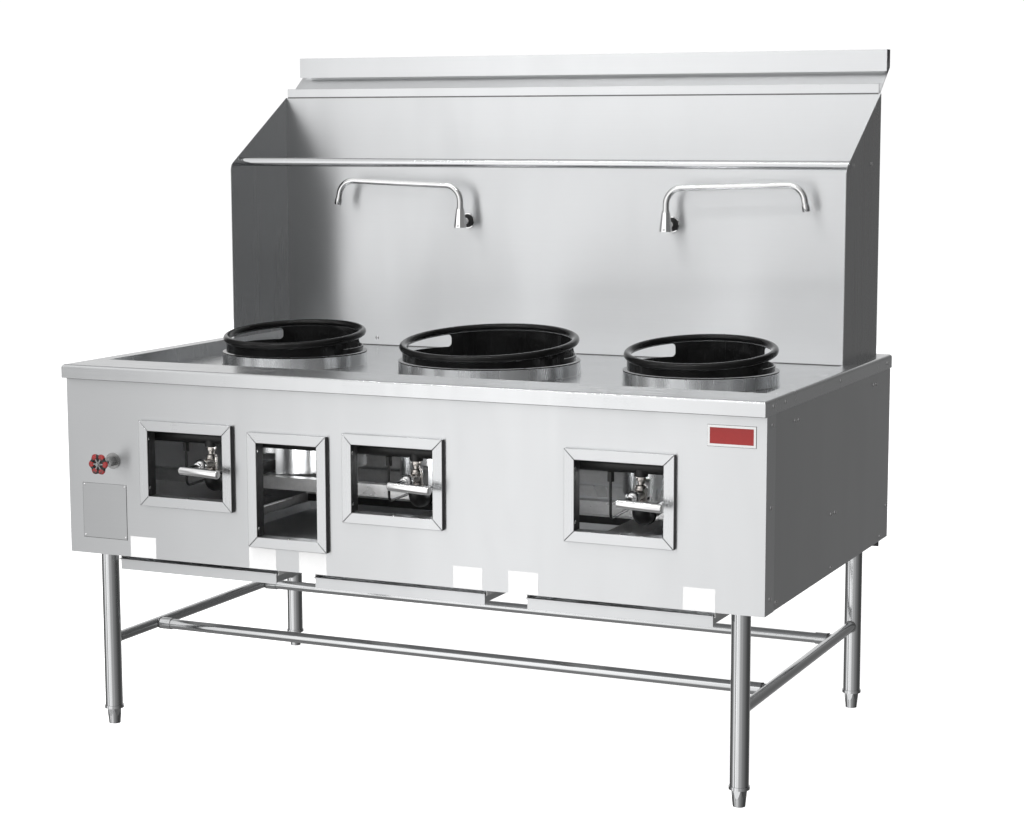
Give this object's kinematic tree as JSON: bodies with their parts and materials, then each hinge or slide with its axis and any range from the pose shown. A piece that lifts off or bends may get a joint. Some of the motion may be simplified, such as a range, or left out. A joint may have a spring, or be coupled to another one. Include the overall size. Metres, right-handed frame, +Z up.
{
  "type": "wok range",
  "caption": "Gas wok range: stainless cabinet on tube legs, recessed deck, tilted black wok rings, tall splash back with rail and swing taps, drip trays below.",
  "frame": {"origin": "middle of the bounding box at floor level, in line with the burner middles", "axes": "+X to the user's right along the front, +Y to the splash back, +Z up"},
  "size_m": [1.7352, 1.134, 1.6122],
  "materials": {
    "stainless_sheet": "brushed stainless sheet",
    "stainless_tube": "satin polished stainless tube",
    "chrome": "polished chrome plate",
    "black_enamel": "gloss black enamel on iron",
    "cast_iron": "rough casting",
    "black_pipe": "black oxide iron pipe",
    "brass": "machined brass",
    "red_wheel": "red paint on a die-cast wheel",
    "badge": "red field with a bare metal border",
    "bare_plate": "satin bare plate",
    "white_paper": "smooth white paper",
    "galvanised": "plain folded steel"
  },
  "bodies": {
    "cabinet": {"front_panel": "stainless_sheet", "side_panel_left": "stainless_sheet", "side_panel_right": "stainless_sheet", "rear_panel": "stainless_sheet", "deck_top": "stainless_sheet", "base_frame": "galvanised", "splash_back": "stainless_sheet", "cheek_left": "stainless_sheet", "cheek_right": "stainless_sheet", "flue_riser": "stainless_sheet", "utensil_rail": "chrome", "collar_left": "stainless_sheet", "chamber_left": "stainless_sheet", "burner_left": "cast_iron", "supply_pipe_left": "black_pipe", "gas_valve_left": "chrome", "window_frame_left": "stainless_sheet", "collar_center": "stainless_sheet", "chamber_center": "stainless_sheet", "burner_center": "cast_iron", "supply_pipe_center": "black_pipe", "gas_valve_center": "chrome", "window_frame_center": "stainless_sheet", "collar_right": "stainless_sheet", "chamber_right": "stainless_sheet", "burner_right": "cast_iron", "supply_pipe_right": "black_pipe", "gas_valve_right": "chrome", "window_frame_right": "stainless_sheet", "window_frame_tall": "stainless_sheet", "gas_manifold": "black_pipe", "pilot_lines": "chrome", "tap_body_left": "chrome", "tap_body_right": "chrome", "water_valve": "brass", "data_plate": "bare_plate", "badge_plate": "badge", "labels": "white_paper", "stretcher_frame": "stainless_tube", "fasteners": "stainless_tube", "leg_front_left": "stainless_tube", "leg_front_right": "stainless_tube", "leg_rear_left": "stainless_tube", "leg_rear_right": "stainless_tube"},
    "wok_ring_left": {"wok_ring_left": "black_enamel"},
    "wok_ring_center": {"wok_ring_center": "black_enamel"},
    "wok_ring_right": {"wok_ring_right": "black_enamel"},
    "valve_lever_left": {"valve_lever_left": "chrome"},
    "valve_lever_center": {"valve_lever_center": "chrome"},
    "valve_lever_right": {"valve_lever_right": "chrome"},
    "handwheel": {"handwheel": "red_wheel"},
    "tap_spout_left": {"tap_spout_left": "chrome"},
    "tap_spout_right": {"tap_spout_right": "chrome"},
    "drip_tray_left": {"drip_tray_left": "stainless_sheet"},
    "drip_tray_center": {"drip_tray_center": "stainless_sheet"},
    "drip_tray_right": {"drip_tray_right": "stainless_sheet"},
    "foot_front_left": {"foot_front_left": "stainless_tube"},
    "foot_front_right": {"foot_front_right": "stainless_tube"},
    "foot_rear_left": {"foot_rear_left": "stainless_tube"},
    "foot_rear_right": {"foot_rear_right": "stainless_tube"}
  },
  "joints": [
    {"name": "wok_ring_lift_left", "type": "slide", "parent": "cabinet", "child": "wok_ring_left", "axis": [0, 0, 1], "range_m": [0, 0.15]},
    {"name": "wok_ring_lift_center", "type": "slide", "parent": "cabinet", "child": "wok_ring_center", "axis": [0, 0, 1], "range_m": [0, 0.15]},
    {"name": "wok_ring_lift_right", "type": "slide", "parent": "cabinet", "child": "wok_ring_right", "axis": [0, 0, 1], "range_m": [0, 0.15]},
    {"name": "gas_valve_turn_left", "type": "hinge", "parent": "cabinet", "child": "valve_lever_left", "pos_m": [-0.5155, -0.48, 0.65], "axis": [0, 1, 0], "range_deg": [0, 90]},
    {"name": "gas_valve_turn_center", "type": "hinge", "parent": "cabinet", "child": "valve_lever_center", "pos_m": [0.022, -0.48, 0.65], "axis": [0, 1, 0], "range_deg": [0, 90]},
    {"name": "gas_valve_turn_right", "type": "hinge", "parent": "cabinet", "child": "valve_lever_right", "pos_m": [0.5595, -0.48, 0.65], "axis": [0, 1, 0], "range_deg": [0, 90]},
    {"name": "handwheel_turn", "type": "hinge", "parent": "cabinet", "child": "handwheel", "pos_m": [-0.7375, -0.563, 0.6525], "axis": [0, -1, 0], "range_deg": [0, 1080]},
    {"name": "tap_swing_left", "type": "hinge", "parent": "cabinet", "child": "tap_spout_left", "pos_m": [-0.277, 0.42, 1.214], "axis": [0, 0, 1], "range_deg": [0, 120]},
    {"name": "tap_swing_right", "type": "hinge", "parent": "cabinet", "child": "tap_spout_right", "pos_m": [0.295, 0.42, 1.214], "axis": [0, 0, -1], "range_deg": [0, 120]},
    {"name": "drip_tray_slide_left", "type": "slide", "parent": "cabinet", "child": "drip_tray_left", "axis": [0, -1, 0], "range_m": [0, 0.6]},
    {"name": "drip_tray_slide_center", "type": "slide", "parent": "cabinet", "child": "drip_tray_center", "axis": [0, -1, 0], "range_m": [0, 0.6]},
    {"name": "drip_tray_slide_right", "type": "slide", "parent": "cabinet", "child": "drip_tray_right", "axis": [0, -1, 0], "range_m": [0, 0.6]},
    {"name": "foot_height_front_left", "type": "slide", "parent": "cabinet", "child": "foot_front_left", "axis": [0, 0, -1], "range_m": [0, 0.025]},
    {"name": "foot_height_front_right", "type": "slide", "parent": "cabinet", "child": "foot_front_right", "axis": [0, 0, -1], "range_m": [0, 0.025]},
    {"name": "foot_height_rear_left", "type": "slide", "parent": "cabinet", "child": "foot_rear_left", "axis": [0, 0, -1], "range_m": [0, 0.025]},
    {"name": "foot_height_rear_right", "type": "slide", "parent": "cabinet", "child": "foot_rear_right", "axis": [0, 0, -1], "range_m": [0, 0.025]}
  ]
}
